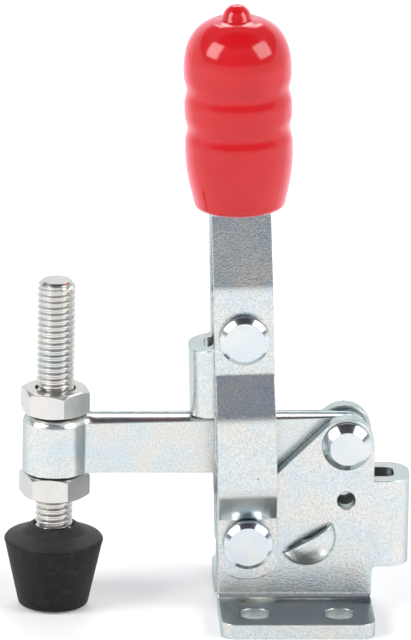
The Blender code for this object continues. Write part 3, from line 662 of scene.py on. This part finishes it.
@dataclass
class Spindle:
    """Hexagon bolt with a full M6 thread, head down in the foot."""

    radius: float = 3.0
    root: float = 2.45
    pitch: float = 1.0
    low: float = 8.6
    low_cut: float = 0.1
    top: float = 55.0
    tip: float = 0.7
    facets: int = 48
    weld: float = 0.004
    head_corner: float = 5.77
    head_height: float = 4.0
    head_middle: float = 6.9

    def tree(self, finish: bpy.types.Material) -> bpy.types.NodeTree:
        """Build the tree that winds a thread round Z.

        The grid's columns run along the axis, four to a turn of thread: two on
        the crest and two in the root. Each row is lifted by its share of a
        pitch, so the rim meets itself one turn higher.

        Args:
            finish: the thread's plating.

        Returns:
            The node tree, with named inputs for its sizes.
        """
        tree = bpy.data.node_groups.new("wound_thread", "GeometryNodeTree")
        for name in ("Crest radius", "Root radius", "Pitch", "Bottom", "Top", "Tip chamfer"):
            tree.interface.new_socket(name, in_out="INPUT", socket_type="NodeSocketFloat")
        for name in ("Columns", "Facets"):
            tree.interface.new_socket(name, in_out="INPUT", socket_type="NodeSocketInt")
        tree.interface.new_socket("Geometry", in_out="OUTPUT", socket_type="NodeSocketGeometry")
        given = node(tree, "NodeGroupInput").outputs

        def maths(operation: str, first: bpy.types.NodeSocket,
                  second: bpy.types.NodeSocket | float = 0.0) -> bpy.types.NodeSocket:
            """One sum of two values."""
            return node(tree, "ShaderNodeMath", {0: first, 1: second}, operation=operation).outputs[0]

        facets_more = maths("ADD", given["Facets"], 1.0)
        grid = node(tree, "GeometryNodeMeshGrid", {
            "Size X": 1.0, "Size Y": 1.0, "Vertices X": facets_more, "Vertices Y": given["Columns"]})
        index = node(tree, "GeometryNodeInputIndex").outputs[0]
        column = maths("MODULO", index, given["Columns"])
        row = maths("FLOOR", maths("DIVIDE", maths("ADD", index, 0.5), given["Columns"]))
        share = maths("DIVIDE", row, given["Facets"])
        phase = maths("MODULO", column, 4.0)
        on_crest = maths("LESS_THAN", maths("ABSOLUTE", maths("SUBTRACT", phase, 1.5)), 1.0)
        rise = maths("SUBTRACT", given["Crest radius"], given["Root radius"])
        thread = maths("ADD", given["Root radius"], maths("MULTIPLY", on_crest, rise))
        quarter = maths("DIVIDE", given["Pitch"], 4.0)
        wind = maths("MULTIPLY", maths("SUBTRACT", share, 1.0), given["Pitch"])
        free = maths("ADD", given["Bottom"], maths("ADD", maths("MULTIPLY", column, quarter), wind))
        height = maths("MAXIMUM", maths("MINIMUM", free, given["Top"]), given["Bottom"])
        cone_foot = maths("SUBTRACT", given["Crest radius"], given["Tip chamfer"])
        cone = maths("ADD", cone_foot, maths("SUBTRACT", given["Top"], height))
        radius = maths("MINIMUM", thread, cone)
        angle = maths("MULTIPLY", share, 2 * math.pi)
        spot = node(tree, "ShaderNodeCombineXYZ", {
            "X": maths("MULTIPLY", radius, maths("COSINE", angle)),
            "Y": maths("MULTIPLY", radius, maths("SINE", angle)), "Z": height})
        wound = node(tree, "GeometryNodeSetPosition", {
            "Geometry": grid.outputs["Mesh"], "Position": spot.outputs[0]})
        closed = node(tree, "GeometryNodeMergeByDistance", {
            "Geometry": wound.outputs[0], "Distance": self.weld * MM})
        real = node(tree, "GeometryNodeRealizeInstances", {"Geometry": closed.outputs[0]})
        dressed = node(tree, "GeometryNodeSetMaterial", {"Geometry": real.outputs[0], "Material": finish})
        node(tree, "NodeGroupOutput", {"Geometry": dressed.outputs[0]})
        return tree

    def wind(self, finish: bpy.types.Material) -> bmesh.types.BMesh:
        """Wind the thread and close its two ends.

        Args:
            finish: the thread's plating.

        Returns:
            The closed thread about Z, in metres.
        """
        holder = bpy.data.objects.new("thread", bpy.data.meshes.new("thread"))
        bpy.context.scene.collection.objects.link(holder)
        winder = holder.modifiers.new("Thread", "NODES")
        tree = self.tree(finish)
        turns = math.ceil((self.top - self.low) / self.pitch) + 2
        sizes = {"Crest radius": self.radius * MM, "Root radius": self.root * MM, "Pitch": self.pitch * MM,
                 "Bottom": self.low * MM, "Top": self.top * MM, "Tip chamfer": self.tip * MM,
                 "Columns": turns * 4 + 1, "Facets": self.facets}
        winder.node_group = tree
        for item in tree.interface.items_tree:
            if item.item_type == "SOCKET" and item.in_out == "INPUT":
                winder[item.identifier] = sizes[item.name]
        build = bmesh.new()
        build.from_mesh(plain(holder).data)
        bpy.data.objects.remove(holder)
        bmesh.ops.remove_doubles(build, verts=build.verts, dist=self.weld * MM)
        bmesh.ops.dissolve_degenerate(build, edges=build.edges, dist=self.weld / 2 * MM)
        # The lowest turns are pressed flat by the height limit, so they are cut off inside the head
        bmesh.ops.bisect_plane(build, geom=[*build.verts, *build.edges, *build.faces], dist=1e-7,
                               plane_co=(0, 0, (self.low + self.low_cut) * MM), plane_no=(0, 0, 1),
                               clear_inner=True)
        rims = [edge for edge in build.edges if edge.is_boundary]
        bmesh.ops.holes_fill(build, edges=rims, sides=0)
        bmesh.ops.recalc_face_normals(build, faces=build.faces)
        return build

    def build(self, finish: bpy.types.Material) -> None:
        """Make the bolt: its wound thread and its hidden hexagon head.

        Args:
            finish: the bolt's plating.
        """
        build = self.wind(finish)
        head = bmesh.ops.create_cone(
            build, cap_ends=True, segments=6, radius1=self.head_corner * MM, radius2=self.head_corner * MM,
            depth=self.head_height * MM)["verts"]
        bmesh.ops.translate(build, vec=(0, 0, self.head_middle * MM), verts=head)
        bmesh.ops.translate(build, vec=(SPINDLE_X * MM, 0, 0), verts=build.verts)
        fit(place_piece("spindle_threaded", build, finish, sharp=40), Body.SPINDLE, "zinc_bolt", "spindle")


@dataclass
class Nuts:
    """The two hexagon nuts that lock the bolt in the arm."""

    nodes: tuple[str, ...] = ("upper_nut", "lower_nut")

    def build(self, finish: bpy.types.Material) -> None:
        """Finish both nuts with the bolt's plating."""
        for name in self.nodes:
            fit(pressed_copy(name, finish), Body.ARM, "zinc_bolt", name)


@dataclass
class Foot:
    """Tapered rubber cap, pushed over the bolt's head, with a rounded rim and a dished top."""

    lift: float = 0.3
    height: float = 13.5
    rim_height: float = 11.3
    rim: float = 8.05
    bead: float = 0.35
    tip: float = 5.6
    neck: float = 3.7
    well: float = 3.2
    well_depth: float = 0.6
    dish_reach: float = 1.6
    dish_drop: float = 1.15

    def build(self, finish: bpy.types.Material) -> None:
        """Make the foot.

        Args:
            finish: the rubber.
        """
        top = self.lift + self.height
        rim = self.lift + self.rim_height
        outline = soften([
            (0, top - self.well_depth, 0), (self.well, top - self.well_depth, 0.1),
            (self.well + 0.1, top - 0.1, 0.05), (self.neck, top, 0.15),
            (self.neck + self.dish_reach, top - self.dish_drop, 1.0), (self.rim - self.bead, rim + 0.1, 0.4),
            (self.rim, rim - self.bead, self.bead), (self.rim - 0.2, rim - 0.9, 0.3),
            (self.tip, self.lift, 0.6), (0, self.lift, 0)], steps=5)
        foot = revolve("foot_moulded", outline, Matrix.Translation((SPINDLE_X * MM, 0, 0)), finish, sharp=50)
        fit(foot, Body.SPINDLE, "neoprene", "foot")


@dataclass
class Grip:
    """Dipped handle grip with finger waves and a drip at its tip."""

    start: float = 54.6
    length: float = 33.3
    radius: float = 8.6
    mouth_radius: float = 7.1
    mouth_edge: float = 1.0
    mouth_hole: float = 5.0
    mouth_depth: float = 0.4
    tip_radius: float = 2.3
    tip_sunk: float = 0.3
    tip_flare: float = 0.55
    swell: float = 0.28
    groove: float = 0.42
    grooves: int = 2
    groove_start: float = 0.3
    groove_pitch: float = 0.19
    shoulder: float = 0.676
    power: float = 2.5
    wall_steps: int = 110

    def wall(self, share: float) -> float:
        """Radius of the wall.

        Args:
            share: how far along the length, from 0 at the mouth to 1 at the tip.

        Returns:
            The radius in millimetres.
        """
        swell = math.sin(min(share / self.swell, 1) * math.pi / 2)
        radius = self.mouth_radius + (self.radius - self.mouth_radius) * swell
        along = (share - self.groove_start) / self.groove_pitch
        if 0 < along < self.grooves:
            radius -= self.groove * ((1 - math.cos(2 * math.pi * along)) / 2) ** 2
        dome_top = 1 - (self.tip_radius - self.tip_sunk) / self.length
        up = max(0.0, (share - self.shoulder) / (dome_top - self.shoulder))
        return radius * max(0.0, 1 - up ** self.power) ** (1 / self.power)

    def outline(self) -> list[tuple[float, float]]:
        """Outline from the tip, over the dome and down into the mouth.

        Returns:
            Points as (radius, height above the handle pivot).
        """
        top = self.start + self.length
        high = 1 - (self.tip_radius + 0.25) / self.length
        low = self.mouth_edge / self.length
        shares = [low + (high - low) * math.sin(math.pi / 2 * (1 - i / self.wall_steps))
                  for i in range(self.wall_steps + 1)]
        wall = [(self.wall(share), self.start + self.length * share) for share in shares]
        drip = [(self.tip_radius * math.sin(math.pi / 2 * i / 10),
                 top - self.tip_radius * (1 - math.cos(math.pi / 2 * i / 10))) for i in range(9)]
        web = [(self.tip_radius + self.tip_flare * t * t, drip[-1][1] + (wall[0][1] - drip[-1][1]) * (t * 2 - t * t))
               for t in (0.3, 0.6, 0.85)]
        last = wall[-1]
        lip = [(last[0] - self.mouth_edge * (1 - math.cos(math.pi / 2 * i / 6)),
                last[1] - self.mouth_edge * math.sin(math.pi / 2 * i / 6)) for i in range(1, 7)]
        floor = self.start + self.mouth_depth
        return drip + web + wall + lip + [
            (self.mouth_hole + 0.2, self.start + 0.05), (self.mouth_hole, floor), (0, floor)]

    def build(self, finish: bpy.types.Material) -> None:
        """Make the grip.

        Args:
            finish: the vinyl.
        """
        turn = Matrix.Translation(HANDLE_PIVOT * MM) @ LEAN
        grip = revolve("grip_dipped", self.outline(), turn, finish, steps=128, sharp=50)
        fit(grip, Body.HANDLE, "dipped_vinyl", "grip")


# Studio


@dataclass
class Studio:
    """Pale floor, soft light and the photograph's camera."""

    azimuth: float = -3.15
    elevation: float = 17.9
    roll: float = 1.06
    distance: float = 1.2
    frame_height: float = 102.6
    target: tuple[float, float, float] = (-0.7, 0.0, 48.28)
    floor_half: float = 1.0
    paper: str = "#F2F2F1"
    glow: float = 0.20
    # The room's tone against height, from the white sweep up over the wall to the ceiling
    walls: tuple[tuple[float, str], ...] = (
        (0.06, "#FFFFFF"), (0.12, "#878994"), (0.32, "#868893"), (0.68, "#A2A4AF"), (0.79, "#5A5860"),
        (1.0, "#3C3A3E"))
    # Each lamp's name, place, width and height in metres, and power in watts
    lamps: tuple[tuple[str, tuple[float, float, float], tuple[float, float], float], ...] = (
        ("left_softbox", (-0.75, -0.35, 0.62), (0.5, 0.6), 5.8),
        ("right_softbox", (0.75, -0.35, 0.62), (0.6, 0.6), 5.6),
        ("back_softbox", (0.05, 0.8, 0.85), (0.7, 0.4), 4.2))

    def floor(self) -> None:
        """A wide floor that stays white in the camera's and the metal's eyes, and keeps the shadow."""
        build = bmesh.new()
        bmesh.ops.create_grid(build, x_segments=1, y_segments=1, size=self.floor_half)
        made = bpy.data.materials.new("white_table_paper")
        made.use_nodes = True
        tree = made.node_tree
        tree.nodes.remove(tree.nodes["Principled BSDF"])
        paper = node(tree, "ShaderNodeBsdfDiffuse", {"Color": linear(self.paper)})
        rays = node(tree, "ShaderNodeLightPath").outputs
        seen = node(tree, "ShaderNodeMath", {0: rays["Is Camera Ray"], 1: rays["Is Glossy Ray"]},
                    operation="MAXIMUM")
        seen = node(tree, "ShaderNodeMath", {0: seen.outputs[0], 1: rays["Is Transmission Ray"]},
                    operation="MAXIMUM")
        strength = node(tree, "ShaderNodeMath", {0: seen.outputs[0], 1: self.glow}, operation="MULTIPLY")
        glow = node(tree, "ShaderNodeEmission", {"Color": linear("#FFFFFF"), "Strength": strength.outputs[0]})
        both = node(tree, "ShaderNodeAddShader", {0: paper.outputs[0], 1: glow.outputs[0]})
        tree.links.new(both.outputs[0], tree.nodes["Material Output"].inputs["Surface"])
        floor = place_piece("floor", build, made)

    def room(self) -> None:
        """A pale studio: a white sweep low down and behind, darker wall and ceiling in front."""
        world = bpy.data.worlds.new("studio_room")
        bpy.context.scene.world = world
        world.use_nodes = True
        tree = world.node_tree
        way = node(tree, "ShaderNodeTexCoord").outputs["Generated"]
        split = node(tree, "ShaderNodeSeparateXYZ", {"Vector": way})
        # The sweep stands higher behind the clamp than in front of it
        sweep = node(tree, "ShaderNodeMapRange", {
            "Value": split.outputs["Y"], "From Min": -0.2, "From Max": 0.6, "To Min": 0.0, "To Max": 0.42})
        above = node(tree, "ShaderNodeMath", {0: split.outputs["Z"], 1: sweep.outputs[0]}, operation="SUBTRACT")
        tone = node(tree, "ShaderNodeValToRGB", {"Fac": above.outputs[0]})
        ramp = tone.color_ramp
        for end, (position, colour) in zip(ramp.elements, (self.walls[0], self.walls[-1])):
            end.position = position
            end.color = linear(colour)
        for position, colour in self.walls[1:-1]:
            ramp.elements.new(position).color = linear(colour)
        tree.links.new(tone.outputs["Color"], tree.nodes["Background"].inputs["Color"])
        tree.nodes["Background"].inputs["Strength"].default_value = 1.0

    def lamp(self, name: str, place: tuple[float, float, float], size: tuple[float, float], power: float) -> None:
        """A soft box that faces the clamp.

        Args:
            name: the lamp's name.
            place: its place in metres.
            size: its width and height in metres.
            power: its power in watts.
        """
        light = bpy.data.lights.new(name, "AREA")
        light.shape = "RECTANGLE"
        light.size, light.size_y = size
        light.energy = power
        made = bpy.data.objects.new(name, light)
        made.location = place
        made.rotation_euler = (Vector((0, 0, 0.05)) - Vector(place)).to_track_quat("-Z", "Y").to_euler()
        bpy.context.scene.collection.objects.link(made)

    def camera(self) -> None:
        """The camera at the photograph's angle, framed for a picture of 411 by 640."""
        data = bpy.data.cameras.new("camera")
        data.sensor_width = 36.0
        data.lens = data.sensor_width * self.distance / (self.frame_height * MM)
        data.clip_start, data.clip_end = 0.05, 30.0
        made = bpy.data.objects.new("camera", data)
        a, e = math.radians(self.azimuth), math.radians(self.elevation)
        back = Vector((math.sin(a) * math.cos(e), -math.cos(a) * math.cos(e), math.sin(e)))
        look = (-back).to_track_quat("-Z", "Y").to_matrix().to_4x4()
        made.matrix_world = (Matrix.Translation(Vector(self.target) * MM + back * self.distance) @ look
                             @ Matrix.Rotation(math.radians(self.roll), 4, "Z"))
        bpy.context.scene.collection.objects.link(made)
        bpy.context.scene.camera = made

    def build(self) -> None:
        """Set up the floor, the light and the camera."""
        self.floor()
        self.room()
        for name, place, size, power in self.lamps:
            self.lamp(name, place, size, power)
        self.camera()
        bpy.context.scene.view_settings.view_transform = "Standard"


def main() -> None:
    """Build the studio and every piece of the clamp."""
    logging.basicConfig(level=logging.INFO, format="%(name)s: %(message)s")
    Studio().build()
    PressedSheet().build(SHEET_ZINC.material())
    Rivets().build(RIVET_ZINC.material())
    bolt_finish = BOLT_ZINC.material()
    Spindle().build(bolt_finish)
    Nuts().build(bolt_finish)
    Foot().build(Neoprene().material())
    Grip().build(DippedVinyl().material())
    bpy.context.view_layer.update()


if __name__ == "__main__":
    main()
